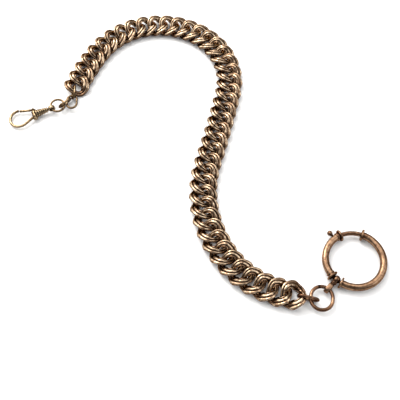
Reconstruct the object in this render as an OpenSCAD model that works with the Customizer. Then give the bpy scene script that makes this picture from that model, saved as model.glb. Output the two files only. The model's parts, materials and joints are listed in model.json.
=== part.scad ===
// Pocket watch chain: a flat curb chain with a bolt ring at one end and a swivelling clip at the other.
// It lies on the plane z = 0. The origin is under the middle of the bolt ring. Millimetres throughout.

/* [Chain] */
// Number of curb links
link_count = 43; // [20:1:43]
// Distance between the middles of neighbouring links
link_pitch = 4.0; // [3:0.1:6]
// Half the length of a link, to the middle of its wire
link_half_length = 2.9; // [2.4:0.05:4]
// Half the width of a link, to the middle of its wire
link_half_width = 3.0; // [2.5:0.05:4]
// How far the twist lifts and lowers the wire
link_twist = 1.14; // [0.8:0.02:1.6]
// Half-thickness of the wire, in plan, at the two ends of a link
end_half_plan = 0.72; // [0.4:0.02:1]
// Half-height of the wire at the two ends of a link
end_half_height = 0.7; // [0.4:0.02:1]
// Half-width of the flattened wire, in plan, where links cross
cross_half_plan = 1.08; // [0.6:0.02:1.5]
// Half-height of the flattened wire where links cross
cross_half_height = 0.56; // [0.3:0.02:1]
// Half-thickness of the wire, in plan, at the two sides of a link
side_half_plan = 1.45; // [0.4:0.05:1.8]
// Half-height of the wire at the two sides of a link
side_half_height = 0.76; // [0.4:0.02:1.4]

/* [Lie of the chain] */
// Middle of the first link, at the clip end
chain_start = [-86.0, 62.8]; // each [-150:0.1:150]
// Heading of the first link, in degrees
start_heading = 73; // [-180:1:180]
// Arcs of the lie: contacts in the arc, and degrees turned at each contact
arcs = [[4, -3.5], [6, -9.5], [11, -9.5], [7, -0.5], [8, 6], [6, 8.5]]; // counts add up to link_count - 1

/* [Bolt ring] */
// Radius of the bolt ring to the middle of its tube
ring_r = 8.4; // [6:0.1:12]
// Outside radius of the tube
tube_r = 1.05; // [0.8:0.05:1.6]
// Bore radius of the tube
tube_bore_r = 0.72; // [0.5:0.02:1.2]
// Radius of the sliding bolt
bolt_r = 0.68; // [0.4:0.02:1.1]
// Radius of the collars
collar_r = 1.75; // [1.2:0.05:2.5]
// Thickness of a collar
collar_t = 0.6; // [0.4:0.05:1.2]
// Angle of the mouth's far edge, where the bolt's tip seats
mouth_far = 66; // [50:1:80]
// Angle of the mouth's near edge, where the bolt comes out
mouth_near = 117; // [100:1:140]
// Angle of the trigger knob when the bolt is shut
knob_angle = 127; // [120:1:150]
// Angle through which the bolt slides
bolt_travel = 50; // [30:1:60]
// Angle of the ball and eye that the chain pulls on
eye_angle = 226; // [180:1:260]
// Radius of the ball
ball_r = 1.15; // [0.8:0.05:1.6]
// Radius of the neck that the ball turns on
neck_r = 0.55; // [0.4:0.05:0.9]
// Distance from the ball to the middle of the eye's hole
eye_reach = 3.55; // [2.5:0.05:5]

/* [Clip] */
// Middle of the clip's block
clip_at = [-98.9, 51.2]; // each [-150:0.1:150]
// Heading of the clip, from its swivel to the tip of its loop
clip_heading = 201; // [0:1:360]
// Angle by which the loop droops towards the surface
clip_droop = 4; // [0:1:10]
// Height of the clip's axis at the block
clip_axis_z = 1.45; // [1:0.05:3]
// Radius of the round part of the loop, to the middle of the wire
loop_r = 3.05; // [2:0.05:5]
// Distance from the block to the middle of the round part
loop_reach = 5.0; // [3:0.1:8]
// Radius of the loop's wire
loop_wire_r = 0.45; // [0.3:0.05:0.8]
// Radius of the ribbed barrel at the block
barrel_big_r = 1.35; // [1:0.05:2]
// Radius of the ribbed barrel at the swivel
barrel_small_r = 0.75; // [0.5:0.05:1.5]
// Number of ribs on the barrel
rib_count = 6; // [3:1:10]

/* [Connecting rings] */
// Wire radius of the three narrow connectors
connector_wire_r = 0.4; // [0.3:0.05:0.7]
// Wire radius of the two jump rings at the clip end
small_ring_wire_r = 0.38; // [0.3:0.02:0.6]
// Wire radius of the large jump ring at the bolt ring
large_ring_wire_r = 0.53; // [0.4:0.02:0.8]

/* [Hidden] */
chain_z = 1.71;
ring_z = collar_r;
station_count = 24;
section_points = 8;
gold = [0.78, 0.60, 0.38];
rose_gold = [0.72, 0.48, 0.31];
steel = [0.62, 0.62, 0.64];
ring_facets = 72;
wire_facets = 24;

function dir(angle) = [cos(angle), sin(angle)];
function two_digits(i) = i < 10 ? str("0", i) : str(i);
function link_name(i) = str("link_", two_digits(i));

// ---------- where each link lies ----------
turns = [for (arc = arcs) for (k = [1 : arc[0]]) arc[1]];
function heading(i) = i == 1 ? start_heading : heading(i - 1) + turns[i - 2];
function middle(i) =
    i == 1 ? chain_start : middle(i - 1) + link_pitch / 2 * (dir(heading(i - 1)) + dir(heading(i)));

// ---------- one curb link: an oval of wire twisted so that neighbours lie flat ----------
// The wire's section changes from the ends to the crossings to the sides of the oval.
function end_share(t) = pow(max(cos(2 * t), 0), 2);
function side_share(t) = pow(max(-cos(2 * t), 0), 6);
function blend(t, cross_size, end_size, side_size) =
    cross_size + (end_size - cross_size) * end_share(t) + (side_size - cross_size) * side_share(t);
function half_plan(t) = blend(t, cross_half_plan, end_half_plan, side_half_plan);
function half_height(t) = blend(t, cross_half_height, end_half_height, side_half_height);
function wire_middle(t) =
    [link_half_length * cos(t), link_half_width * sin(t), -link_twist * sin(2 * t)];
function wire_way(t) =
    unit([-link_half_length * sin(t), link_half_width * cos(t), -2 * link_twist * cos(2 * t)]);
function wire_outward(t) = unit([link_half_width * cos(t), link_half_length * sin(t), 0]);
function unit(v) = v / norm(v);
function wire_up(t) = unit([0, 0, 1] - wire_way(t) * wire_way(t)[2]);
function section_point(t, g) =
    wire_middle(t)
    + wire_outward(t) * half_plan(t) * cos(g) / cos(180 / section_points)
    + wire_up(t) * half_height(t) * sin(g) / cos(180 / section_points);

module curb_link() {
    points = [
        for (i = [0 : station_count - 1]) for (k = [0 : section_points - 1])
            section_point(360 * i / station_count, 360 * (k + 0.5) / section_points)
    ];
    function at(i, k) = (i % station_count) * section_points + k % section_points;
    faces = [
        for (i = [0 : station_count - 1]) for (k = [0 : section_points - 1])
            for (half = [0, 1])
                half == 0
                    ? [at(i, k), at(i + 1, k + 1), at(i + 1, k)]
                    : [at(i, k), at(i, k + 1), at(i + 1, k + 1)]
    ];
    polyhedron(points, faces);
}

module link(i) {
    color(gold)
        translate([middle(i)[0], middle(i)[1], chain_z])
            rotate([0, 0, heading(i)])
                curb_link();
}

// ---------- wire rings ----------
// A closed ring of round wire in the XY plane: two half circles joined by straight sides along X.
module wire_ring(bend_r, straight, wire_r) {
    for (side = [0, 180])
        rotate([0, 0, side]) {
            translate([straight / 2, 0, 0])
                rotate([0, 0, -90])
                    rotate_extrude(angle = 180, $fn = ring_facets)
                        translate([bend_r, 0])
                            circle(r = wire_r, $fn = wire_facets);
            translate([0, bend_r, 0])
                rotate([0, 90, 0])
                    cylinder(r = wire_r, h = straight, center = true, $fn = wire_facets);
        }
}

// A ring set on its edge: its long side runs along way, and it leans over by lean.
module standing_ring(at, way, lean, bend_r, straight, wire_r) {
    translate(at)
        rotate([0, 0, way])
            rotate([90 - lean, 0, 0])
                wire_ring(bend_r, straight, wire_r);
}

// A ring lying flat, with its long side along way.
module lying_ring(at, way, bend_r, straight, wire_r) {
    translate(at)
        rotate([0, 0, way])
            wire_ring(bend_r, straight, wire_r);
}

function at_height(point, z) = [point[0], point[1], z];
first_end = middle(1) - link_half_length * dir(heading(1));
last_end = middle(link_count) + link_half_length * dir(heading(link_count));
clip_connector_at = at_height(first_end + [0, -0.1], chain_z);
clip_ring_at = [-87.1, 56.15, 1.5];
swivel_connector_at = [-89.3, 55.6, 1.65];
swivel_ring_at = [-91.6, 54.4, 1.85];
bolt_connector_at = at_height(last_end + [1.2, -0.6], 1.86);
bolt_jump_ring_at = [-10.45, -11.5, 1.6];

module clip_connector() {
    color(gold)
        standing_ring(
            clip_connector_at, way = 92, lean = -25,
            bend_r = 1.4, straight = 1.8, wire_r = connector_wire_r
        );
}

module clip_jump_ring() {
    color(gold)
        lying_ring(
            clip_ring_at, way = 92,
            bend_r = 1.56, straight = 1.8, wire_r = small_ring_wire_r
        );
}

module swivel_connector() {
    color(gold)
        standing_ring(
            swivel_connector_at, way = 224, lean = 20,
            bend_r = 1.12, straight = 2.2, wire_r = small_ring_wire_r
        );
}

module swivel_jump_ring() {
    color(gold)
        lying_ring(
            swivel_ring_at, way = 110,
            bend_r = 2.2, straight = 0.3, wire_r = small_ring_wire_r
        );
}

module bolt_connector() {
    color(rose_gold)
        standing_ring(
            bolt_connector_at, way = -14, lean = -6,
            bend_r = 1.45, straight = 2.8, wire_r = connector_wire_r
        );
}

module bolt_jump_ring() {
    color(rose_gold)
        lying_ring(
            bolt_jump_ring_at, way = 80,
            bend_r = 3.08, straight = 0.7, wire_r = large_ring_wire_r
        );
}

// ---------- bolt ring ----------
// A piece of a round bar bent to the ring's radius, between two angles.
module bent_bar(r, from, to) {
    rotate([0, 0, from])
        rotate_extrude(angle = to - from, $fn = ring_facets)
            translate([ring_r, 0])
                circle(r = r, $fn = wire_facets);
}

module on_ring(angle, radius = ring_r) {
    rotate([0, 0, angle])
        translate([radius, 0, 0])
            children();
}

// Angle at the ring's centre that a distance along the tube covers.
function along(mm) = mm / ring_r * 180 / PI;

// The ball sits in a gap in the tube, on a straight neck between the gap's two collars.
ball_room = 0.12;
eye_gap = along(ball_r + ball_room);
neck_radius = ring_r * cos(eye_gap);
neck_bury = 0.5;
collar_seat = 0.05;
mouth_collar_middle = along(collar_t / 2 + collar_seat);
eye_collar_middle = eye_gap + along(collar_t / 2);
bolt_hole_r = bolt_r + 0.08;
tube_seat_r = tube_r + 0.02;
cavity_end = eye_angle - eye_gap - 8;
bolt_tip = mouth_far - 5;
bolt_tail = knob_angle + 5;
bore_margin = 4;
slot_margin = 3;
slot_width = 0.72;
stem_of_knob_r = 0.3;
knob_reach = 2.15;
knob_r = 0.8;
coil_outer_r = 0.66;
coil_inner_r = 0.44;

module ring_tube() {
    color(rose_gold)
        translate([0, 0, ring_z]) {
            difference() {
                union() {
                    bent_bar(tube_r, mouth_near, eye_angle - eye_gap);
                    bent_bar(tube_r, eye_angle + eye_gap, mouth_far + 360);
                }
                bent_bar(tube_bore_r, mouth_near - bore_margin, cavity_end);
                bent_bar(tube_bore_r, bolt_tip - bore_margin + 360, mouth_far + bore_margin + 360);
                trigger_slot();
            }
            on_ring(eye_angle, neck_radius)
                rotate([90, 0, 0])
                    cylinder(r = neck_r, h = 2 * (ball_r + neck_bury), center = true, $fn = wire_facets);
        }
}

// The slot in the outer wall that the knob's stem slides along.
module trigger_slot() {
    rotate([0, 0, knob_angle - slot_margin])
        rotate_extrude(angle = bolt_travel + 2 * slot_margin, $fn = ring_facets)
            translate([ring_r + 0.3, -slot_width / 2])
                square([tube_r, slot_width]);
}

module collar(angle, hole_r) {
    on_ring(angle)
        rotate([90, 0, 0])
            difference() {
                cylinder(r = collar_r, h = collar_t, center = true, $fn = 48);
                cylinder(r = hole_r, h = collar_t + 1, center = true, $fn = wire_facets);
            }
}

module ring_collars() {
    color(rose_gold)
        translate([0, 0, ring_z]) {
            collar(mouth_near - mouth_collar_middle, bolt_hole_r);
            collar(mouth_far + mouth_collar_middle, bolt_hole_r);
            collar(eye_angle - eye_collar_middle, tube_seat_r);
            collar(eye_angle + eye_collar_middle, tube_seat_r);
        }
}

module sliding_bolt() {
    color(rose_gold)
        translate([0, 0, ring_z]) {
            bent_bar(bolt_r, bolt_tip, bolt_tail);
            on_ring(knob_angle) {
                rotate([0, 90, 0])
                    cylinder(r = stem_of_knob_r, h = knob_reach - 0.25, $fn = wire_facets);
                translate([knob_reach, 0, 0])
                    sphere(r = knob_r, $fn = 32);
            }
        }
}

// The coil spring behind the bolt, as a sleeve of the coil's size.
module bolt_spring() {
    color(steel)
        translate([0, 0, ring_z])
            difference() {
                bent_bar(coil_outer_r, bolt_tail + 1, cavity_end - 1);
                bent_bar(coil_inner_r, bolt_tail - 1, cavity_end + 1);
            }
}

// The ball that turns on the neck, with a short shank and a long eye for the jump ring.
eye_shank_r = 0.6;
eye_shank_length = 1.9;
shoulder_r = 0.85;
shoulder_at = 1.25;
shoulder_length = 0.35;
eye_bend_r = 1.08;
eye_straight = 0.7;
band_width = 0.7;
band_edge_r = 0.33;

module ring_eye() {
    color(rose_gold)
        translate([0, 0, ring_z])
            on_ring(eye_angle, neck_radius)
                difference() {
                    union() {
                        sphere(r = ball_r, $fn = 40);
                        rotate([0, 90, 0])
                            cylinder(r = eye_shank_r, h = eye_shank_length, $fn = wire_facets);
                        translate([shoulder_at, 0, 0])
                            rotate([0, 90, 0])
                                cylinder(r = shoulder_r, h = shoulder_length, $fn = wire_facets);
                        translate([eye_reach, 0, 0])
                            eye_band();
                    }
                    rotate([90, 0, 0])
                        cylinder(r = neck_r + 0.05, h = 4, center = true, $fn = wire_facets);
                }
}

// The long eye, on edge, with its hole along Y: a rounded band in an oval.
module eye_band() {
    rotate([90, 0, 0])
        for (side = [0, 180])
            rotate([0, 0, side]) {
                translate([eye_straight / 2, 0, 0])
                    rotate([0, 0, -90])
                        rotate_extrude(angle = 180, $fn = 48)
                            translate([eye_bend_r, 0])
                                band_section(band_width, band_edge_r);
                translate([0, eye_bend_r, 0])
                    rotate([90, 0, 90])
                        linear_extrude(height = eye_straight, center = true)
                            band_section(band_width, band_edge_r);
            }
}

// A flat band's section with round edges: width is between the middles of the edges.
module band_section(width, edge_r) {
    for (side = [-1, 1])
        translate([0, side * width / 2])
            circle(r = edge_r, $fn = wire_facets);
    square([2 * edge_r, width], center = true);
}

// ---------- clip ----------
// Local frame: origin in the block, +X towards the loop's tip, +Z up.
module at_clip() {
    translate([clip_at[0], clip_at[1], clip_axis_z])
        rotate([0, 0, clip_heading])
            rotate([0, clip_droop, 0])
                children();
}

block_half = 2.2;
block_r = 0.75;
barrel_start_x = -0.5;
barrel_end_x = -4.55;
rib_r = 0.26;
rib_depth = 0.12;
stem_r = 0.42;
stem_room = 0.05;
head_r = 0.6;
head_length = 0.7;
head_at = -3.3;
swivel_ring_mid_x = -5.85;
swivel_ring_mid_r = 0.86;
swivel_band_edge_r = 0.26;
pin_y = -1.75;
pin_r = 0.28;
pin_length = 1.9;
knuckle_r = 0.52;
knuckle_height = 0.74;
gate_length = 4.5;
gate_angle = -17;
gate_root_length = 0.9;
gate_root_r = 0.36;
leaf_spring = [0.9, 0.12, 0.5];
hook_root = [0.6, 1.05];
socket_depth = 0.6;
round_middle = [loop_reach, -0.3];
hook_way = round_middle - hook_root;
shank_angle = atan2(hook_way[1], hook_way[0]) + asin(loop_r / norm(hook_way));
hook_straight = sqrt(pow(norm(hook_way), 2) - pow(loop_r, 2));
tip_angle = -96;

function taper(x) = barrel_big_r + (barrel_small_r - barrel_big_r) * x / barrel_end_x;

module clip_barrel() {
    color(gold)
        difference() {
            at_clip() {
                rotate([90, 0, 0])
                    cylinder(r = block_r, h = 2 * block_half, center = true, $fn = 32);
                rotate([0, -90, 0])
                    rotate_extrude($fn = 48)
                        barrel_outline();
            }
            at_clip() {
                swivel_bore();
                gate_pocket();
                at_pin()
                    cylinder(r = pin_r, h = 2 * pin_length, center = true, $fn = wire_facets);
            }
            at_hook()
                translate([loop_r, hook_straight + socket_depth - 3, 0])
                    rotate([-90, 0, 0])
                        cylinder(r = loop_wire_r, h = 3, $fn = wire_facets);
        }
}

// Half outline of the ribbed barrel, from the block back to the swivel.
module barrel_outline() {
    rib_step = (barrel_start_x - barrel_end_x) / rib_count;
    core_start_r = taper(barrel_start_x) - rib_depth;
    core_end_r = taper(barrel_end_x) - rib_depth;
    polygon([[0, 0.3], [core_start_r, 0.3], [core_end_r, -barrel_end_x], [0, -barrel_end_x]]);
    for (n = [0 : rib_count - 1]) {
        rib_x = barrel_start_x - (n + 0.5) * rib_step;
        translate([taper(rib_x) - 0.2, -rib_x])
            circle(r = rib_r, $fn = 24);
    }
}

// Where the swivel's stem turns, and the wider room for its head.
module swivel_bore() {
    translate([-10, 0, 0])
        rotate([0, 90, 0])
            cylinder(r = stem_r + stem_room, h = 7.6, $fn = wire_facets);
    translate([head_at - 0.2, 0, 0])
        rotate([0, 90, 0])
            cylinder(r = head_r + 0.06, h = head_length + 0.5, $fn = wire_facets);
}

// The slot in the block that the gate's knuckle turns in.
module gate_pocket() {
    translate([-0.1, pin_y - 1.2, -0.42])
        cube([3, 2.2, 0.84]);
    at_pin()
        cylinder(r = knuckle_r + 0.1, h = 0.84, center = true, $fn = wire_facets);
}

module at_pin() {
    translate([0, pin_y, 0])
        children();
}

module gate_pin() {
    color(gold)
        at_clip()
            at_pin()
                cylinder(r = pin_r, h = pin_length, center = true, $fn = wire_facets);
}

// The fixed hook: from its socket in the block, round the tip and back to where the gate shuts.
module clip_hook() {
    color(gold)
        at_hook() {
            mirror([0, 1, 0])
                rotate_extrude(angle = shank_angle + 90 - tip_angle, $fn = ring_facets)
                    translate([loop_r, 0])
                        circle(r = loop_wire_r, $fn = wire_facets);
            translate([loop_r, 0, 0])
                rotate([-90, 0, 0])
                    cylinder(r = loop_wire_r, h = hook_straight + socket_depth, $fn = wire_facets);
        }
}

// Middle of the loop's round part, turned so that the straight shank leaves it along +Y.
module at_hook() {
    at_clip()
        translate([round_middle[0], round_middle[1], 0])
            rotate([0, 0, shank_angle + 90])
                children();
}

module clip_gate() {
    color(gold)
        at_clip()
            at_pin()
                rotate([0, 0, gate_angle])
                    difference() {
                        union() {
                            cylinder(r = knuckle_r, h = knuckle_height, center = true, $fn = wire_facets);
                            rotate([0, 90, 0])
                                cylinder(r = gate_root_r, h = gate_root_length + 0.1, $fn = wire_facets);
                            translate([gate_root_length, 0, 0])
                                rotate([0, 90, 0])
                                    cylinder(
                                        r = loop_wire_r - 0.02,
                                        h = gate_length - gate_root_length,
                                        $fn = wire_facets
                                    );
                        }
                        cylinder(r = pin_r + 0.05, h = 2, center = true, $fn = wire_facets);
                    }
}

module gate_spring() {
    color(steel)
        at_clip()
            translate([0.5, pin_y + 0.72, 0])
                cube(leaf_spring, center = true);
}

// The small ring that the jump ring holds, on a stem whose head turns inside the barrel.
module swivel_eye() {
    color(gold)
        at_clip() {
            translate([swivel_ring_mid_x, 0, 0])
                rotate([90, 0, 0])
                    rotate_extrude($fn = 48)
                        translate([swivel_ring_mid_r, 0])
                            band_section(0.7, swivel_band_edge_r);
            translate([swivel_ring_mid_x + 0.8, 0, 0])
                rotate([0, 90, 0])
                    cylinder(r = stem_r, h = head_at - swivel_ring_mid_x, $fn = wire_facets);
            translate([head_at, 0, 0])
                rotate([0, 90, 0])
                    cylinder(r = head_r, h = head_length, $fn = wire_facets);
        }
}

for (i = [1 : link_count])
    link(i);
clip_connector();
clip_jump_ring();
swivel_connector();
swivel_jump_ring();
bolt_connector();
bolt_jump_ring();
swivel_eye();
clip_barrel();
clip_hook();
clip_gate();
gate_pin();
gate_spring();
ring_tube();
ring_collars();
sliding_bolt();
bolt_spring();
ring_eye();
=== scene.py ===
"""Pocket watch chain: the detailed visual model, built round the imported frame. Lengths are in metres."""

import json
import math
import random

import bmesh
import bpy
import numpy as np
from mathutils import Matrix, Vector


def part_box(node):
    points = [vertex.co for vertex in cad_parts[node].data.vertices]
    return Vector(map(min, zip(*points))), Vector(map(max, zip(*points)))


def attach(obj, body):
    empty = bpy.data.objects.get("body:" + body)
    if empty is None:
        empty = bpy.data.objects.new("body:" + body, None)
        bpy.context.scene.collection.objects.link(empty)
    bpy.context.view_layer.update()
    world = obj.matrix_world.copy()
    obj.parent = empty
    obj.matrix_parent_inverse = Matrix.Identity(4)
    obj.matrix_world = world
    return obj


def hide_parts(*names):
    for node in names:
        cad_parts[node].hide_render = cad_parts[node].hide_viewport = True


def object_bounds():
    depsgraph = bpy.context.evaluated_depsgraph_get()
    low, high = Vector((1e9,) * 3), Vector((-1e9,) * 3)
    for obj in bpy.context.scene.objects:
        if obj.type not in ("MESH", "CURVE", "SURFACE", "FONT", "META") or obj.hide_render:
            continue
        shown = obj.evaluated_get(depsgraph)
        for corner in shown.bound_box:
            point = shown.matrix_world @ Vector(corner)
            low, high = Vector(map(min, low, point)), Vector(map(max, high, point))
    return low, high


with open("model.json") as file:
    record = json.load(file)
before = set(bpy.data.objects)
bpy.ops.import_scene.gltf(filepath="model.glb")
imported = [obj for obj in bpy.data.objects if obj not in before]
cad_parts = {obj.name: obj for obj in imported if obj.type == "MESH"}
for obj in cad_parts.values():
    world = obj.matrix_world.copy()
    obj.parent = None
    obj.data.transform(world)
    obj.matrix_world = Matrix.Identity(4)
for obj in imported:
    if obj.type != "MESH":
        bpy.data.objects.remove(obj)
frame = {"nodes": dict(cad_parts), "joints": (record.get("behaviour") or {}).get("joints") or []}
cad_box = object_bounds()
nodes = frame["nodes"]
joints = {joint["name"]: joint for joint in frame["joints"]}
MM = 0.001
TAU = 2 * math.pi


def joint_place(name):
    return Vector(joints[name]["pos_m"])


def joint_axis(name):
    return Vector(joints[name]["axis"]).normalized()


# ---------- mesh building ----------
def unit(v):
    return v / np.linalg.norm(v, axis=-1, keepdims=True)


class Shape:
    """Collects grids of points into one mesh. recess is 0 on open metal and 1 at the bottom of a groove, and
    also carries painted shade on insides and undersides.
    """

    def __init__(self):
        self.points = []
        self.recess = []
        self.faces = []
        self.count = 0

    def grid(self, rows, recess=0.0, wrap_rows=False, caps=False):
        """Adds rows of points, each a closed loop. caps closes the first and the last row."""
        rows = np.asarray(rows, float)
        n, m = rows.shape[:2]
        first = self.count
        self.points.append(rows.reshape(-1, 3))
        self.recess.append(np.broadcast_to(recess, (n, m)).reshape(-1).astype(float))
        i, k = np.meshgrid(
            np.arange(n if wrap_rows else n - 1),
            np.arange(m),
            indexing="ij",
        )
        after, beside = (i + 1) % n, (k + 1) % m
        quads = np.stack([i * m + k, i * m + beside, after * m + beside, after * m + k], -1)
        self.faces += (quads.reshape(-1, 4) + first).tolist()
        if caps:
            self.faces.append(list(range(first + m - 1, first - 1, -1)))
            self.faces.append(list(range(first + (n - 1) * m, first + n * m)))
        self.count += n * m

    def mesh(self, name, place, sharp_over=50):
        mesh = bpy.data.meshes.new(name)
        mesh.from_pydata(np.concatenate(self.points).tolist(), [], self.faces)
        recess = mesh.attributes.new("recess", "FLOAT", "POINT")
        recess.data.foreach_set("value", np.concatenate(self.recess))
        work = bmesh.new()
        work.from_mesh(mesh)
        bmesh.ops.recalc_face_normals(work, faces=work.faces)
        work.to_mesh(mesh)
        work.free()
        mesh.transform(place)
        mesh.shade_smooth()
        mesh.set_sharp_from_angle(angle=math.radians(sharp_over))
        return mesh


def add_piece(name, mesh, material, body, stands_for):
    piece = bpy.data.objects.new(name, mesh)
    bpy.context.scene.collection.objects.link(piece)
    mesh.materials.append(material)
    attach(piece, body)
    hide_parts(*stands_for)


def circle(count, start=0.0):
    turn = start + TAU * np.arange(count) / count
    return np.cos(turn), np.sin(turn)


# How far round each row of a domed end lies, in degrees.
DOME_ANGLES = (15, 32, 50, 68, 82)


def tube(shape, middles, sides, ups, radius, around=32, recess=0.0, round_ends=0.0):
    """A round bar along a path. radius and recess may vary along it, and its ends may be domed."""
    middles, sides, ups = (np.asarray(v, float) for v in (middles, sides, ups))
    radius = np.broadcast_to(radius, (len(middles),)).astype(float)
    recess = np.broadcast_to(recess, (len(middles),)).astype(float)
    if round_ends:
        angles = np.radians(DOME_ANGLES)
        reach = round_ends * np.sin(angles)
        for end, beside in ((0, 1), (-1, -2)):
            way = unit(middles[end] - middles[beside])
            dome = (
                middles[end] + reach[:, None] * way,
                np.repeat(sides[[end]], len(angles), 0),
                np.repeat(ups[[end]], len(angles), 0),
                radius[end] - round_ends + round_ends * np.cos(angles),
                np.full(len(angles), recess[end]),
            )
            bar = (middles, sides, ups, radius, recess)
            if end == 0:
                joined = [np.concatenate([extra[::-1], part]) for extra, part in zip(dome, bar)]
            else:
                joined = [np.concatenate([part, extra]) for extra, part in zip(dome, bar)]
            middles, sides, ups, radius, recess = joined
    c, s = circle(around)
    rows = (
        middles[:, None]
        + sides[:, None] * (radius[:, None] * c)[..., None]
        + ups[:, None] * (radius[:, None] * s)[..., None]
    )
    shape.grid(rows, recess[:, None], caps=True)


def lathe(shape, outline, axis_from, along, around=64, closed=False):
    """Turns an outline of (distance along, radius, recess) round an axis."""
    along = unit(np.asarray(along, float))
    side = unit(np.cross(along, [0.31, 0.52, 0.8]))
    up = np.cross(along, side)
    outline = np.asarray(outline, float)
    c, s = circle(around)
    spokes = c[:, None] * side + s[:, None] * up
    rows = (
        np.asarray(axis_from, float)
        + outline[:, None, 0, None] * along
        + outline[:, None, 1, None] * spokes[None]
    )
    shape.grid(rows, outline[:, 2:3], wrap_rows=closed, caps=not closed)


def arc_path(radius, start, stop, count):
    """Points, outward directions and up directions along an arc in the XY plane, angles in degrees."""
    turn = np.radians(np.linspace(start, stop, count))
    outward = np.stack([np.cos(turn), np.sin(turn), 0 * turn], -1)
    return radius * outward, outward, np.repeat([[0.0, 0.0, 1.0]], count, 0)


# ---------- materials ----------
def metal(name, bright, base, shade_and_tarnish, roughness, shade_and_tarnish_level, scratch, patchy=0.38, dented=0.35):
    """Worn metal: a dark colour is laid as patina in cloudy patches and in grooves, and as painted shade
    where the recess attribute marks insides and undersides; high open places get a brighter colour, partly
    worn bright and partly painted light.
    """
    material = bpy.data.materials.new(name)
    material.use_nodes = True
    tree = material.node_tree
    tree.nodes.clear()
    link = tree.links.new

    def node(kind, **values):
        made = tree.nodes.new(kind)
        for key, value in values.items():
            if key in made.inputs:
                made.inputs[key].default_value = value
            else:
                setattr(made, key, value)
        return made

    def noise(scale, detail, distortion=0.0):
        made = node("ShaderNodeTexNoise", Scale=scale, Detail=detail, Distortion=distortion)
        link(place.outputs["Object"], made.inputs["Vector"])
        return made.outputs["Fac"]

    def remap(value, low, high, to_low=0.0, to_high=1.0):
        made = node("ShaderNodeMapRange", interpolation_type="SMOOTHSTEP")
        link(value, made.inputs["Value"])
        for key, number in zip(("From Min", "From Max", "To Min", "To Max"), (low, high, to_low, to_high)):
            made.inputs[key].default_value = number
        return made.outputs["Result"]

    def combine(operation, a, b):
        made = node("ShaderNodeMath", operation=operation, use_clamp=operation == "ADD")
        for socket, value in zip(made.inputs, (a, b)):
            if isinstance(value, (int, float)):
                socket.default_value = value
            else:
                link(value, socket)
        return made.outputs[0]

    def mix(amount, low, high):
        made = node("ShaderNodeMix", data_type="RGBA")
        link(amount, made.inputs["Factor"])
        for socket, value in ((made.inputs["A"], low), (made.inputs["B"], high)):
            if isinstance(value, tuple):
                socket.default_value = (*value, 1.0)
            else:
                link(value, socket)
        return made.outputs["Result"]

    place = node("ShaderNodeTexCoord")
    recess = node("ShaderNodeAttribute", attribute_name="recess").outputs["Fac"]
    clouds = noise(260.0, 4.0, 0.6)
    blotches = noise(1100.0, 5.0, 0.3)
    grain = noise(7000.0, 3.0)

    # The dark colour follows the recess attribute, which holds patina in grooves and painted shade on
    # insides and undersides, plus cloudy patches of real patina.
    edge = combine("ADD", recess, combine("MULTIPLY", combine("SUBTRACT", blotches, 0.5), 0.5))
    shade_and_tarnish_mask = remap(edge, shade_and_tarnish_level, shade_and_tarnish_level + 0.5)
    patches = remap(clouds, 0.48, 0.68, 0.0, patchy)
    shade_and_tarnish_mask = combine("ADD", shade_and_tarnish_mask, patches)
    # The brighter colour goes where the recess attribute is low: worn bright in random blotches, and painted
    # light on open, upper and outer faces away from the painted shade.
    rubbed_and_lit = remap(combine("SUBTRACT", blotches, recess), 0.30, 0.62)

    gold = mix(rubbed_and_lit, base, bright)
    warm_base = tuple(c * f for c, f in zip(base, (1.05, 0.86, 0.72)))
    warm = mix(remap(clouds, 0.35, 0.62), gold, warm_base)
    colour = mix(shade_and_tarnish_mask, mix(remap(blotches, 0.4, 0.7, 0.0, 0.5), gold, warm), shade_and_tarnish)

    shader = node("ShaderNodeBsdfPrincipled", Metallic=1.0)
    shader.inputs["Specular Tint"].default_value = (0.30, 0.20, 0.13, 1.0)
    link(colour, shader.inputs["Base Color"])
    dulled = remap(shade_and_tarnish_mask, 0.0, 1.0, roughness, roughness + 0.22)
    rough = combine("ADD", dulled, remap(grain, 0.3, 0.7, 0.0, 0.08))
    link(rough, shader.inputs["Roughness"])

    fine = node("ShaderNodeBump", Strength=scratch, Distance=0.00002)
    link(grain, fine.inputs["Height"])
    dents = node("ShaderNodeBump", Strength=dented, Distance=0.00006)
    link(blotches, dents.inputs["Height"])
    link(fine.outputs["Normal"], dents.inputs["Normal"])
    link(dents.outputs["Normal"], shader.inputs["Normal"])
    out = node("ShaderNodeOutputMaterial")
    link(shader.outputs["BSDF"], out.inputs["Surface"])
    return material


LINK_GOLD = metal(
    "worn_gold_links",
    bright=(0.66, 0.51, 0.35),
    base=(0.20, 0.116, 0.068),
    shade_and_tarnish=(0.011, 0.0045, 0.0025),
    roughness=0.15,
    shade_and_tarnish_level=0.16,
    scratch=0.30,
)
CLIP_GOLD = metal(
    "worn_gold_clip",
    bright=(0.40, 0.305, 0.19),
    base=(0.145, 0.098, 0.055),
    shade_and_tarnish=(0.016, 0.009, 0.0045),
    roughness=0.20,
    shade_and_tarnish_level=0.22,
    scratch=0.20,
    patchy=0.25,
    dented=0.18,
)
ROSE_GOLD = metal(
    "rose_gold",
    bright=(0.32, 0.20, 0.122),
    base=(0.135, 0.071, 0.041),
    shade_and_tarnish=(0.014, 0.006, 0.0035),
    roughness=0.19,
    shade_and_tarnish_level=0.24,
    scratch=0.16,
    patchy=0.22,
    dented=0.12,
)
STEEL = metal(
    "spring_steel",
    bright=(0.42, 0.42, 0.43),
    base=(0.24, 0.24, 0.25),
    shade_and_tarnish=(0.04, 0.035, 0.03),
    roughness=0.28,
    shade_and_tarnish_level=0.4,
    scratch=0.20,
)

# ---------- curb links ----------
LINK_HALF_LENGTH = 2.9 * MM
LINK_HALF_WIDTH = 3.0 * MM
LINK_TWIST = 1.14 * MM
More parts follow.
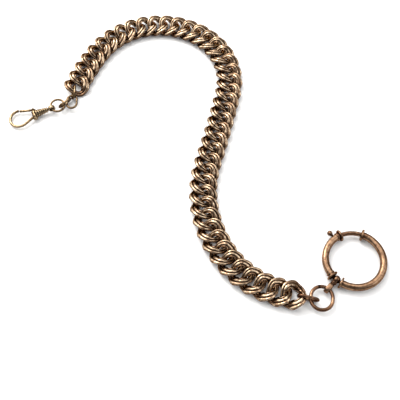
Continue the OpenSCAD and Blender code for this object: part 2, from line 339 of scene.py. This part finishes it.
# Half the wire's width in plan and half its height, where links cross, at an end and at a side.
CROSS_PLAN, END_PLAN, SIDE_PLAN = 1.16, 0.80, 1.50
CROSS_HEIGHT, END_HEIGHT, SIDE_HEIGHT = 0.56, 0.70, 0.76
# The ridges' crests stand a little proud of the plain section.
CREST = 1.03
STATIONS = 104
AROUND = 80
RIDGES = 5
RIDGE_DEPTH = 0.31 * MM


def link_shape(seed):
    """An oval of fluted wire, twisted so that it lies flat between its neighbours."""
    rng = random.Random(seed)
    wander = [rng.uniform(0, TAU) for _ in range(3)]
    t = TAU * np.arange(STATIONS) / STATIONS
    at_end = np.clip(np.cos(2 * t), 0, 1) ** 2
    at_side = np.clip(-np.cos(2 * t), 0, 1) ** 6

    def blend(cross, end, side):
        return (cross + (end - cross) * at_end + (side - cross) * at_side) * MM

    half_plan = blend(CROSS_PLAN, END_PLAN, SIDE_PLAN) * CREST
    half_height = blend(CROSS_HEIGHT, END_HEIGHT, SIDE_HEIGHT)
    middle = np.stack(
        [LINK_HALF_LENGTH * np.cos(t), LINK_HALF_WIDTH * np.sin(t), -LINK_TWIST * np.sin(2 * t)], -1
    )
    way = unit(
        np.stack(
            [-LINK_HALF_LENGTH * np.sin(t), LINK_HALF_WIDTH * np.cos(t), -2 * LINK_TWIST * np.cos(2 * t)],
            -1,
        )
    )
    outward = unit(np.stack([LINK_HALF_WIDTH * np.cos(t), LINK_HALF_LENGTH * np.sin(t), 0 * t], -1))
    up = unit(np.array([0.0, 0.0, 1.0]) - way * way[:, 2:3])

    # Spread the ridges evenly round the section, whatever its shape there.
    fine = np.linspace(0, TAU, 361)
    share = np.arange(AROUND) / AROUND
    turn = np.empty((STATIONS, AROUND))
    for i in range(STATIONS):
        step = np.hypot(
            np.diff(half_plan[i] * np.cos(fine)), np.diff(half_height[i] * np.sin(fine))
        )
        run = np.concatenate([[0], np.cumsum(step)])
        turn[i] = np.interp(share, run / run[-1], fine)
    across = (share * RIDGES) % 1 * 2 - 1
    groove = 1 - np.sqrt(1 - 0.93 * across**2)
    groove = groove / groove.max()
    depth = RIDGE_DEPTH * (1 + 0.12 * np.sin(2 * t + wander[0]) + 0.08 * np.sin(5 * t + wander[1]))
    c, s = np.cos(turn), np.sin(turn)
    a, b = half_plan[:, None], half_height[:, None]
    slope = np.hypot(b * c, a * s)
    x = a * c - depth[:, None] * groove * b * c / slope
    y = b * s - depth[:, None] * groove * a * s / slope
    rows = middle[:, None] + outward[:, None] * x[..., None] + up[:, None] * y[..., None]

    # Patina is painted dark in the grooves, and painted shade darkens the inside of the oval and the
    # underside.
    inside = np.clip(-c * (b * c / slope), 0, 1)
    height = rows[..., 2] / (1.8 * MM)
    low = np.clip(0.25 - height, 0, 1)
    recess = np.clip(0.85 * groove**1.3 + 0.35 * inside + 0.30 * low, 0, 1)
    shape = Shape()
    shape.grid(rows, recess, wrap_rows=True)
    return shape


link_names = sorted(name for name in nodes if name.startswith("link_"))
contacts = {}
for name in joints:
    words = name.split("_")
    if words[0] in ("sway", "drape"):
        contacts[int(words[1])] = joint_place(name)
half_pitch = (contacts[2] - contacts[1]).length / 2
contacts[0] = joint_place("clip_connector_swing")
contacts[len(link_names)] = joint_place("bolt_connector_swing")
spread = random.Random(7)
for number, name in enumerate(link_names, start=1):
    behind, ahead = contacts[number - 1], contacts[number]
    way = (ahead - behind).normalized()
    if number == 1:
        centre = ahead - way * half_pitch
    elif number == len(link_names):
        centre = behind + way * half_pitch
    else:
        centre = (ahead + behind) / 2
    wobble = math.radians(spread.uniform(-0.9, 0.9))
    place = (
        Matrix.Translation(centre)
        @ Matrix.Rotation(math.atan2(way.y, way.x) + wobble, 4, "Z")
    )
    mesh = link_shape(number).mesh("curb_" + name, place, sharp_over=180)
    add_piece("curb_" + name, mesh, LINK_GOLD, name, [name])


# ---------- jump rings and connectors ----------
def ring_frame(node):
    """Where a flat oval wire ring lies: its matrix, with X along its straight sides, and its sizes."""
    co = np.array([v.co for v in nodes[node].data.vertices])
    centre = (co.min(0) + co.max(0)) / 2
    own_axes = np.linalg.eigh(np.cov((co - centre).T))[1]
    normal, flat_x = own_axes[:, 0], own_axes[:, 2]
    flat_y = np.cross(normal, flat_x)
    local = co - centre
    best = None
    for turn in np.radians(np.arange(0, 180, 0.5)):
        short = -math.sin(turn) * flat_x + math.cos(turn) * flat_y
        width = np.ptp(local @ short)
        if best is None or width < best[0]:
            best = (width, turn)
    width, turn = best
    long_way = math.cos(turn) * flat_x + math.sin(turn) * flat_y
    length, thick = np.ptp(local @ long_way), np.ptp(local @ normal)
    side = np.cross(normal, long_way)
    place = Matrix((*zip(long_way, side, normal, centre), (0, 0, 0, 1))).to_4x4()
    wire = thick / 2
    return place, width / 2 - wire, length - width, wire


def wire_ring(node, material, seam_at, fullness=0.985, ends_darker=0.35):
    """An oval jump ring of round wire, with the cut where its ends meet."""
    place, bend, straight, wire = ring_frame(node)
    quarter = 40
    half_turn = np.radians(np.linspace(-90, 90, 2 * quarter + 1))
    points, outs = [], []
    for side in (1, -1):
        for angle in half_turn:
            out = np.array([side * math.cos(angle), side * math.sin(angle), 0])
            points.append(np.array([side * straight / 2, 0, 0]) + bend * out)
            outs.append(out)
        for share in np.linspace(0, 1, 12)[1:-1]:
            x = side * straight / 2 * (1 - 2 * share)
            points.append(np.array([x, side * bend, 0]))
            outs.append(np.array([0, side, 0]))
    points, outs = np.array(points), np.array(outs)
    first = int(seam_at * len(points))
    points, outs = np.roll(points, -first, 0), np.roll(outs, -first, 0)
    share = np.arange(len(points)) / len(points)
    radius = wire * (fullness - 0.012 * np.cos(TAU * 2 * share + 1.0) ** 2)
    tip = np.minimum(share, 1 - share)
    recess = ends_darker * np.abs(points[:, 0]) / np.abs(points[:, 0]).max() + 0.6 * np.exp(-tip * 90)
    shape = Shape()
    ups = np.repeat([[0.0, 0.0, 1.0]], len(points), 0)
    tube(shape, points, outs, ups, radius, around=36, recess=recess, round_ends=0.06 * MM)
    mesh = shape.mesh(node + "_wire", place)
    add_piece(node + "_wire", mesh, material, node, [node])


wire_ring("clip_connector", CLIP_GOLD, 0.56, 0.96)
wire_ring("clip_jump_ring", CLIP_GOLD, 0.47, 0.93)
wire_ring("swivel_connector", CLIP_GOLD, 0.05)
wire_ring("swivel_jump_ring", CLIP_GOLD, 0.30, 0.94)
wire_ring("bolt_connector", ROSE_GOLD, 0.06)
wire_ring("bolt_jump_ring", ROSE_GOLD, 0.77)

# ---------- bolt ring ----------
ring_centre = joint_place("sliding_bolt")
at_ring = Matrix.Translation(ring_centre)
tube_low, tube_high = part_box("ring_tube")
TUBE_R = (tube_high.z - tube_low.z) / 2
RING_R = tube_high.x - ring_centre.x - TUBE_R
BORE_R = 0.72 * MM
BOLT_R = 0.68 * MM
MOUTH_FAR = 66
MOUTH_NEAR = 117
KNOB_ANGLE = 127
TRAVEL = 50
EYE_ANGLE = 226
BALL_R = 1.15 * MM
COLLAR_R = 1.75 * MM
COLLAR_T = 0.6 * MM
BALL_ROOM = 0.12 * MM
SLOT_HALF = 0.36 * MM


def along_ring(distance):
    return math.degrees(distance / RING_R)


EYE_GAP = along_ring(BALL_R + BALL_ROOM)


def ring_tube_shape(shape, start, stop, bore_start=None, bore_stop=None, slot_range=None):
    """Part of the hollow ring. The bore opens at one end; a slot for the knob's stem cuts the outer wall."""
    count = max(8, int((stop - start) * 2))
    around = 72
    turns = np.linspace(start, stop, count + 1)
    if slot_range:
        turns = np.unique(np.concatenate([turns, slot_range]))
    turn = np.radians(turns)
    outs = np.stack([np.cos(turn), np.sin(turn), 0 * turn], -1)
    ups = np.repeat([[0.0, 0.0, 1.0]], len(turns), 0)
    middles = RING_R * outs
    c, s = circle(around, math.radians(2.5))
    end_distance = np.radians(np.minimum(turns - start, stop - turns)) * RING_R
    ease = np.clip(end_distance / (0.12 * MM), 0, 1)
    outer_r = TUBE_R * 0.99 - 0.09 * MM * (1 - np.sqrt(1 - (1 - ease) ** 2))
    seam = np.exp(-(((np.degrees(np.arctan2(s, c)) % 360) - 180) ** 2) / 9.0)
    outer = (outer_r[:, None] - 0.02 * MM * seam)[..., None]
    section = outs[:, None] * c[None, :, None] + ups[:, None] * s[None, :, None]
    rows = middles[:, None] + section * outer
    ends = np.exp(-end_distance / (0.5 * MM))[:, None]
    # The seam and the tube's ends are marked darker, and the underside of the tube is darkened a little as
    # painted shade.
    recess = np.clip(0.55 * seam[None] + 0.5 * ends + 0.12 * np.clip(-s, 0, 1)[None], 0, 1)
    first = shape.count
    shape.grid(rows, recess)
    if bore_start is None:
        shape.faces.append(list(range(first + around - 1, first - 1, -1)))
        last = first + (len(turns) - 1) * around
        shape.faces.append(list(range(last, last + around)))
        return
    inner_first = shape.count
    keep = (turns >= min(bore_start, bore_stop) - 1e-6) & (turns <= max(bore_start, bore_stop) + 1e-6)
    picked = np.nonzero(keep)[0]
    inner_rows = middles[picked][:, None] + section[picked] * BORE_R
    shape.grid(inner_rows, 0.9)
    n_inner = len(picked)

    def ring_of(base, row):
        return [base + row * around + k for k in range(around)]

    open_at_start = abs(bore_start - start) < abs(bore_stop - stop)
    outer_end = ring_of(first, 0 if open_at_start else len(turns) - 1)
    inner_end = ring_of(inner_first, 0 if open_at_start else n_inner - 1)
    far_outer = ring_of(first, len(turns) - 1 if open_at_start else 0)
    far_inner = ring_of(inner_first, n_inner - 1 if open_at_start else 0)
    for k in range(around):
        j = (k + 1) % around
        shape.faces.append([outer_end[k], outer_end[j], inner_end[j], inner_end[k]])
    shape.faces.append(far_outer)
    shape.faces.append(far_inner[::-1])
    if not slot_range:
        return
    # Take out the faces over the slot in both walls, and close the cut between them.
    slot_columns = [k for k in range(around) if abs(s[k]) * BORE_R < SLOT_HALF and c[k] > 0]
    slot_columns.sort(key=lambda k: s[k])
    inner_row = {outer: inner for inner, outer in enumerate(picked)}
    slot_rows = [
        r for r in range(len(turns) - 1)
        if turns[r] >= slot_range[0] - 1e-6 and turns[r + 1] <= slot_range[1] + 1e-6
    ]
    gone = set()
    for r in slot_rows:
        for k, j in zip(slot_columns, slot_columns[1:]):
            for base, row in ((first, r), (inner_first, inner_row[r])):
                gone.add(frozenset((base + row * around + k, base + row * around + j,
                                    base + (row + 1) * around + k, base + (row + 1) * around + j)))
    shape.faces = [face for face in shape.faces if len(face) != 4 or frozenset(face) not in gone]

    def wall(r0, k0, r1, k1):
        shape.faces.append([
            first + r0 * around + k0, first + r1 * around + k1,
            inner_first + inner_row[r1] * around + k1, inner_first + inner_row[r0] * around + k0,
        ])

    for r in slot_rows:
        for k in (slot_columns[0], slot_columns[-1]):
            wall(r, k, r + 1, k)
    for r in (slot_rows[0], slot_rows[-1] + 1):
        for k, j in zip(slot_columns, slot_columns[1:]):
            wall(r, k, r, j)


tube_shape = Shape()
ring_tube_shape(
    tube_shape, MOUTH_NEAR, EYE_ANGLE - EYE_GAP,
    MOUTH_NEAR, EYE_ANGLE - EYE_GAP - 8,
    (KNOB_ANGLE - 3, KNOB_ANGLE + TRAVEL + 3),
)
ring_tube_shape(
    tube_shape, EYE_ANGLE + EYE_GAP, MOUTH_FAR + 360,
    MOUTH_FAR + 360 - 9, MOUTH_FAR + 360,
)
neck_radius = RING_R * math.cos(math.radians(EYE_GAP))
eye_way = np.array([math.cos(math.radians(EYE_ANGLE)), math.sin(math.radians(EYE_ANGLE)), 0])
eye_cross = np.array([-eye_way[1], eye_way[0], 0])
neck_reach = BALL_R + 0.4 * MM
lathe(
    tube_shape,
    [(-neck_reach, 0.54 * MM, 0.6), (0, 0.5 * MM, 0.6), (neck_reach, 0.54 * MM, 0.6)],
    neck_radius * eye_way, eye_cross, around=32,
)
add_piece(
    "bolt_ring_tube", tube_shape.mesh("bolt_ring_tube", at_ring, 40), ROSE_GOLD,
    "bolt_ring", ["ring_tube"],
)


def rounded_disc(radius, thick, hole, rim):
    """Closed outline of a washer with a rounded rim: distance along, radius, recess."""
    half = thick / 2
    outline = [(-half, hole, 0.8), (-half, hole + 0.1 * MM, 0.6), (-half, radius - rim, 0.25)]
    for angle in range(-75, 76, 15):
        a = math.radians(angle)
        outline.append((half * math.sin(a), radius - rim + rim * math.cos(a), 0.0))
    outline += [(half, radius - rim, 0.25), (half, hole + 0.1 * MM, 0.6), (half, hole, 0.8)]
    return outline


def on_ring(angle, radius=None):
    a = math.radians(angle)
    place = np.array([math.cos(a), math.sin(a), 0]) * (RING_R if radius is None else radius)
    return place, np.array([-math.sin(a), math.cos(a), 0])


collars = Shape()
seat = 0.05 * MM
collar_places = (
    (MOUTH_NEAR - along_ring(COLLAR_T / 2 + seat), BOLT_R + 0.06 * MM),
    (MOUTH_FAR + along_ring(COLLAR_T / 2 + seat), BOLT_R + 0.06 * MM),
    (EYE_ANGLE - EYE_GAP - along_ring(COLLAR_T / 2), TUBE_R * 0.97),
    (EYE_ANGLE + EYE_GAP + along_ring(COLLAR_T / 2), TUBE_R * 0.97),
)
for angle, hole in collar_places:
    place, way = on_ring(angle)
    lathe(collars, rounded_disc(COLLAR_R * 0.995, COLLAR_T, hole, 0.24 * MM), place, way, closed=True)
# A raised band behind two of the collars.
band_places = (
    MOUTH_NEAR + along_ring(0.62 * MM),
    EYE_ANGLE - EYE_GAP - along_ring(COLLAR_T + 0.55 * MM),
)
for angle in band_places:
    place, way = on_ring(angle)
    lathe(collars, rounded_disc(1.25 * MM, 0.42 * MM, TUBE_R * 0.95, 0.18 * MM), place, way, closed=True)
add_piece(
    "bolt_ring_collars", collars.mesh("bolt_ring_collars", at_ring, 60), ROSE_GOLD,
    "bolt_ring", ["ring_collars"],
)

bolt = Shape()
bolt_span = (MOUTH_FAR - 5, KNOB_ANGLE + 5, 140)
bolt_turns = np.linspace(*bolt_span)
tube(
    bolt, *arc_path(RING_R, *bolt_span), BOLT_R * 0.985, around=40, round_ends=0.25 * MM,
    recess=0.5 * np.exp(-np.abs(bolt_turns - MOUTH_NEAR + 6) / 3) + 0.15,
)
knob_out, _ = on_ring(KNOB_ANGLE, 1.0)
STEM_R = 0.30 * MM
KNOB_AT = 2.15 * MM
KNOB_R = 0.8 * MM
stem = [(0.3 * MM, STEM_R, 0.7), (1.1 * MM, STEM_R, 0.6), (1.3 * MM, STEM_R * 1.5, 0.4),
        (1.42 * MM, STEM_R * 1.6, 0.5), (1.46 * MM, STEM_R * 1.3, 0.7)]
# The knob is marked darker on its side towards the stem.
for angle in range(-60, 88, 8):
    a = math.radians(angle)
    darker_toward_stem = 0.15 if angle > -30 else 0.5
    stem.append((KNOB_AT + KNOB_R * 0.99 * math.sin(a), KNOB_R * 0.99 * math.cos(a), darker_toward_stem))
lathe(bolt, stem, RING_R * knob_out, knob_out, around=40)
add_piece(
    "drawn_bolt", bolt.mesh("drawn_bolt", at_ring, 50), ROSE_GOLD,
    "sliding_bolt", ["sliding_bolt"],
)

spring = Shape()
spring_start, spring_stop = KNOB_ANGLE + 6.5, EYE_ANGLE - EYE_GAP - 9.5
WIRE_R = 0.1 * MM
COIL_R = 0.55 * MM
turns_of_coil = 26
steps = turns_of_coil * 20
share = np.linspace(0, 1, steps + 1)
arc = np.radians(spring_start + (spring_stop - spring_start) * share)
coil = TAU * turns_of_coil * share
arc_out = np.stack([np.cos(arc), np.sin(arc), 0 * arc], -1)
arc_way = np.stack([-np.sin(arc), np.cos(arc), 0 * arc], -1)
radial = arc_out * np.cos(coil)[:, None] + np.array([0, 0, 1.0]) * np.sin(coil)[:, None]
tube(spring, RING_R * arc_out + COIL_R * radial, radial, arc_way, WIRE_R, around=8, recess=0.3)
add_piece(
    "bolt_coil_spring", spring.mesh("bolt_coil_spring", at_ring, 180), STEEL,
    "bolt_ring", ["bolt_spring"],
)

# ---------- ball and eye ----------
eye = Shape()
EYE_REACH = 3.55 * MM
ball = []
for angle in range(-84, 61, 6):
    a = math.radians(angle)
    ball.append((BALL_R * 0.99 * math.sin(a), BALL_R * 0.99 * math.cos(a), 0.1))
ball += [
    (1.04 * MM, 0.55 * MM, 0.8), (1.14 * MM, 0.56 * MM, 0.8), (1.2 * MM, 0.78 * MM, 0.1),
    (1.28 * MM, 0.85 * MM, 0.0), (1.4 * MM, 0.85 * MM, 0.0), (1.5 * MM, 0.8 * MM, 0.1),
    (1.6 * MM, 0.62 * MM, 0.6), (1.75 * MM, 0.58 * MM, 0.5), (2.1 * MM, 0.6 * MM, 0.3),
]
lathe(eye, ball, neck_radius * eye_way, eye_way, around=64)


def band(shape, centre, long_way, hole_way, bend, straight, half_thick, half_width, around=48):
    """A flattened band bent into an oval: long_way is along the oval, hole_way is its hole's axis."""
    stations = 120
    side = np.cross(hole_way, long_way)
    u = TAU * np.arange(stations) / stations
    outward = np.cos(u)[:, None] * long_way + np.sin(u)[:, None] * side
    shift = np.clip(np.cos(u) * 6, -1, 1) * straight / 2
    middles = centre + bend * outward + shift[:, None] * long_way
    c, s = circle(around)
    x = np.sign(c) * np.abs(c) ** 0.75 * half_thick
    y = np.sign(s) * np.abs(s) ** 0.75 * half_width
    rows = middles[:, None] + outward[:, None] * x[None, :, None] + hole_way * y[None, :, None]
    # The inside of the band, facing its hole, is darkened as painted shade.
    recess = np.clip(-c, 0, 1) ** 2 * 0.7
    shape.grid(rows, recess[None], wrap_rows=True)


band(
    eye, (neck_radius + EYE_REACH) * eye_way, eye_way, eye_cross,
    1.08 * MM, 0.7 * MM, 0.325 * MM, 0.67 * MM,
)
add_piece(
    "ball_and_eye", eye.mesh("ball_and_eye", at_ring, 60), ROSE_GOLD,
    "ring_eye", ["ring_eye"],
)

# ---------- swivel clip ----------
# The clip's own axes: X towards the loop's tip along the swivel, Z along the gate's hinge.
clip_x, clip_z = joint_axis("clip_swivel"), joint_axis("gate_hinge")
clip_y = clip_z.cross(clip_x)
PIN_Y = -1.75 * MM
clip_origin = joint_place("gate_hinge") - PIN_Y * clip_y
at_clip = Matrix((*zip(clip_x, clip_y, clip_z, clip_origin), (0, 0, 0, 1))).to_4x4()
X, Y, Z = np.eye(3)
BARREL_BIG, BARREL_SMALL = 1.35 * MM, 0.75 * MM
BARREL_START, BARREL_END = -0.5 * MM, -4.55 * MM
RIBS = 6
STEM_ROOM = 0.47 * MM
LOOP_R = 3.05 * MM
LOOP_WIRE = 0.45 * MM
ROUND_MIDDLE = np.array([5.0, -0.3, 0]) * MM
HOOK_ROOT = np.array([0.6, 1.05, 0]) * MM


def taper(x):
    return BARREL_BIG + (BARREL_SMALL - BARREL_BIG) * x / BARREL_END


barrel = Shape()
outline = [
    (-0.3 * MM, 0.5 * MM, 0.5), (0.32 * MM, 0.95 * MM, 0.5),
    (0.42 * MM, taper(BARREL_START) - 0.16 * MM, 0.4),
]
rib_step = (BARREL_START - BARREL_END) / RIBS
for n in range(RIBS):
    middle_x = -BARREL_START + (n + 0.5) * rib_step
    top = taper(-middle_x) + 0.055 * MM
    for share in np.linspace(-0.5, 0.5, 13)[:-1]:
        dip = abs(share * 2) ** 2.4
        outline.append((middle_x + share * rib_step, top - 0.2 * MM * dip, dip**1.5))
outline += [
    (-BARREL_END - 0.06 * MM, BARREL_SMALL - 0.1 * MM, 0.6), (-BARREL_END, BARREL_SMALL - 0.16 * MM, 0.4),
    (-BARREL_END, STEM_ROOM, 0.9), (-BARREL_END - 1.2 * MM, STEM_ROOM, 1.0),
]
lathe(barrel, outline, np.zeros(3), -X, around=72)
# The crossbar, with a turned knob at each end and a flat ring beside each.
BAR = 2.2 * MM
bar_outline = []
for y, r, recess in (
    (-1.0, 0.05, 0.0), (-0.985, 0.3, 0.0), (-0.94, 0.52, 0.0), (-0.87, 0.68, 0.0), (-0.79, 0.745, 0.0),
    (-0.7, 0.72, 0.1), (-0.63, 0.62, 0.6), (-0.6, 0.60, 0.8), (-0.57, 0.66, 0.5), (-0.52, 0.74, 0.1),
    (-0.3, 0.745, 0.1), (0.0, 0.745, 0.2), (0.3, 0.745, 0.1), (0.52, 0.74, 0.1), (0.57, 0.66, 0.5),
    (0.6, 0.60, 0.8), (0.63, 0.62, 0.6), (0.7, 0.72, 0.1), (0.79, 0.745, 0.0), (0.87, 0.68, 0.0),
    (0.94, 0.52, 0.0), (0.985, 0.3, 0.0), (1.0, 0.05, 0.0),
):
    bar_outline.append((y * BAR, r * MM, recess))
lathe(barrel, bar_outline, np.zeros(3), Y, around=56)
add_piece(
    "ribbed_barrel", barrel.mesh("ribbed_barrel", at_clip, 50), CLIP_GOLD,
    "clip_body", ["clip_barrel"],
)

hook_way = ROUND_MIDDLE - HOOK_ROOT
hook_span = np.linalg.norm(hook_way)
shank_angle = math.degrees(math.atan2(hook_way[1], hook_way[0]) + math.asin(LOOP_R / hook_span))
shank_length = math.sqrt(hook_span**2 - LOOP_R**2)
TIP_ANGLE = -96
round_out = np.radians(np.linspace(shank_angle + 90, TIP_ANGLE, 120))
outs = np.stack([np.cos(round_out), np.sin(round_out), 0 * round_out], -1)
round_part = ROUND_MIDDLE + LOOP_R * outs
shank_way = np.array([-math.cos(math.radians(shank_angle)), -math.sin(math.radians(shank_angle)), 0])
shank_share = np.linspace(1, 0, 30, endpoint=False)[:, None]
shank_part = round_part[0] + shank_way * (shank_length + 0.5 * MM) * shank_share
hook_points = np.concatenate([shank_part, round_part])
hook_outs = np.concatenate([np.repeat(outs[:1], 30, 0), outs])
hook = Shape()
share = np.linspace(0, 1, len(hook_points))
tube(
    hook, hook_points, hook_outs, np.repeat([Z], len(hook_points), 0),
    LOOP_WIRE * (0.985 - 0.03 * (1 - np.clip(share * 3, 0, 1))), around=36, round_ends=0.2 * MM,
    recess=0.5 * np.exp(-share * 12) + 0.35 * np.exp(-(1 - share) * 25),
)
add_piece(
    "loop_hook", hook.mesh("loop_hook", at_clip, 60), CLIP_GOLD,
    "clip_body", ["clip_hook"],
)

pin = Shape()
PIN_R = 0.28 * MM
pin_outline = []
for z, r in (
    (-1.0, 0.02), (-0.99, 0.12), (-0.955, 0.2), (-0.9, 0.26), (-0.84, 0.278), (0.84, 0.278),
    (0.9, 0.26), (0.955, 0.2), (0.99, 0.12), (1.0, 0.02),
):
    pin_outline.append((z * 0.95 * MM, r * MM, 0.3))
lathe(pin, pin_outline, PIN_Y * Y, Z, around=32)
add_piece(
    "gate_hinge_pin", pin.mesh("gate_hinge_pin", at_clip, 60), CLIP_GOLD,
    "clip_body", ["gate_pin"],
)

GATE_ANGLE = math.radians(-17)
gate_x = np.array([math.cos(GATE_ANGLE), math.sin(GATE_ANGLE), 0])
gate_y = np.array([-math.sin(GATE_ANGLE), math.cos(GATE_ANGLE), 0])
gate = Shape()
KNUCKLE_R, KNUCKLE_HALF = 0.52 * MM, 0.37 * MM
knuckle = [
    (-KNUCKLE_HALF, PIN_R + 0.04 * MM, 0.7), (-KNUCKLE_HALF, KNUCKLE_R - 0.08 * MM, 0.2),
    (-KNUCKLE_HALF + 0.03 * MM, KNUCKLE_R - 0.02 * MM, 0.0), (-KNUCKLE_HALF + 0.1 * MM, KNUCKLE_R, 0.0),
    (KNUCKLE_HALF - 0.1 * MM, KNUCKLE_R, 0.0), (KNUCKLE_HALF - 0.03 * MM, KNUCKLE_R - 0.02 * MM, 0.0),
    (KNUCKLE_HALF, KNUCKLE_R - 0.08 * MM, 0.2), (KNUCKLE_HALF, PIN_R + 0.04 * MM, 0.7),
]
lathe(gate, knuckle, PIN_Y * Y, Z, around=40, closed=True)
GATE_LENGTH = 4.5 * MM
reach = np.linspace(0.44 * MM, GATE_LENGTH - 0.16 * MM, 60)
grow = np.clip((reach - 0.75 * MM) / (0.35 * MM), 0, 1)
gate_radius = 0.355 * MM + (0.425 - 0.355) * MM * (3 * grow**2 - 2 * grow**3)
tube(
    gate, PIN_Y * Y + reach[:, None] * gate_x, np.repeat([gate_y], 60, 0), np.repeat([Z], 60, 0),
    gate_radius, around=36, round_ends=0.16 * MM,
    recess=0.5 * np.exp(-(reach - reach[0]) / (0.4 * MM)) + 0.35 * np.exp((reach - reach[-1]) / (0.2 * MM)),
)
add_piece(
    "loop_gate", gate.mesh("loop_gate", at_clip, 60), CLIP_GOLD,
    "gate", ["clip_gate"],
)

leaf = Shape()
bow = np.linspace(-1, 1, 24)
leaf_middles = np.stack([(0.5 + 0.44 * bow), (-1.03 + 0.03 * (1 - bow**2)), 0 * bow], -1) * MM
c, s = circle(20)
leaf_x = np.sign(c) * np.abs(c) ** 0.5 * 0.045 * MM
leaf_y = np.sign(s) * np.abs(s) ** 0.35 * 0.24 * MM
leaf_rows = leaf_middles[:, None] + Y * leaf_x[None, :, None] + Z * leaf_y[None, :, None]
leaf.grid(leaf_rows, 0.3, caps=True)
add_piece(
    "gate_leaf_spring", leaf.mesh("gate_leaf_spring", at_clip, 60), STEEL,
    "clip_body", ["gate_spring"],
)

swivel = Shape()
SWIVEL_MID = -5.85 * MM
band(swivel, SWIVEL_MID * X, X, Y, 0.86 * MM, 0.0, 0.255 * MM, 0.60 * MM)
swivel_outline = [
    (0.62 * MM, 0.3 * MM, 0.6), (0.95 * MM, 0.41 * MM, 0.5),
    (1.1 * MM, 0.5 * MM, 0.2), (1.22 * MM, 0.5 * MM, 0.1),
    (1.3 * MM, 0.415 * MM, 0.6), (2.5 * MM, 0.415 * MM, 0.8), (2.56 * MM, 0.59 * MM, 0.8),
    (3.2 * MM, 0.59 * MM, 0.8), (3.24 * MM, 0.5 * MM, 0.8),
]
lathe(swivel, swivel_outline, SWIVEL_MID * X, X, around=48)
add_piece(
    "swivel_ring_and_stem", swivel.mesh("swivel_ring_and_stem", at_clip, 60), CLIP_GOLD,
    "swivel_eye", ["swivel_eye"],
)

# ---------- floor, light and camera ----------
middle_of_all = (cad_box[0] + cad_box[1]) / 2


def plain_material(name, colour, roughness):
    material = bpy.data.materials.new(name)
    material.use_nodes = True
    shader = material.node_tree.nodes["Principled BSDF"]
    shader.inputs["Base Color"].default_value = (*colour, 1)
    shader.inputs["Roughness"].default_value = roughness
    shader.inputs["Specular IOR Level"].default_value = 0.0
    return material


floor_mesh = bpy.data.meshes.new("floor")
FLOOR_HALF = 0.9
floor_corners = [(x * FLOOR_HALF, y * FLOOR_HALF, 0) for x, y in ((-1, -1), (1, -1), (1, 1), (-1, 1))]
floor_mesh.from_pydata(floor_corners, [], [(0, 1, 2, 3)])
floor_mesh.materials.append(plain_material("floor_white", (0.88, 0.88, 0.88), 0.9))
floor = bpy.data.objects.new("floor", floor_mesh)
floor.location = (middle_of_all.x, middle_of_all.y, cad_box[0].z - 0.00002)
bpy.context.scene.collection.objects.link(floor)


def softbox(name, direction, distance, width, height, power, colour):
    light = bpy.data.lights.new(name, "AREA")
    light.shape = "RECTANGLE"
    light.size, light.size_y = width, height
    light.energy = power
    light.color = colour
    lamp = bpy.data.objects.new(name, light)
    way = Vector(direction).normalized()
    lamp.location = middle_of_all + way * distance
    lamp.rotation_euler = way.to_track_quat("Z", "Y").to_euler()
    bpy.context.scene.collection.objects.link(lamp)


softbox("key", (-0.35, 0.50, 0.80), 0.6, 1.30, 1.00, 10.0, (1.0, 0.985, 0.96))
softbox("sparkle", (-0.45, 0.55, 0.80), 0.6, 0.22, 0.20, 1.9, (1.0, 0.97, 0.92))
softbox("fill", (0.75, -0.15, 0.65), 0.7, 0.50, 0.50, 1.6, (0.98, 0.99, 1.0))

world = bpy.data.worlds.new("studio")
world.use_nodes = True
world.node_tree.nodes["Background"].inputs["Color"].default_value = (0.97, 0.98, 1.0, 1)
world.node_tree.nodes["Background"].inputs["Strength"].default_value = 0.34
bpy.context.scene.world = world

CAMERA_ELEVATION = math.radians(62.8)
CAMERA_DISTANCE = 0.1923
aim = Vector((-0.04473, 0.02038, 0))
lens = bpy.data.cameras.new("camera")
lens.lens = 56.4
lens.sensor_width = 36
lens.clip_start = 0.005
lens.clip_end = 10
camera = bpy.data.objects.new("camera", lens)
back = Vector((0, -math.cos(CAMERA_ELEVATION), math.sin(CAMERA_ELEVATION)))
camera.location = aim + back * CAMERA_DISTANCE
camera.rotation_euler = back.to_track_quat("Z", "Y").to_euler()
bpy.context.scene.collection.objects.link(camera)
bpy.context.scene.camera = camera
bpy.context.scene.view_settings.view_transform = "Standard"
bpy.context.scene.view_settings.look = "None"
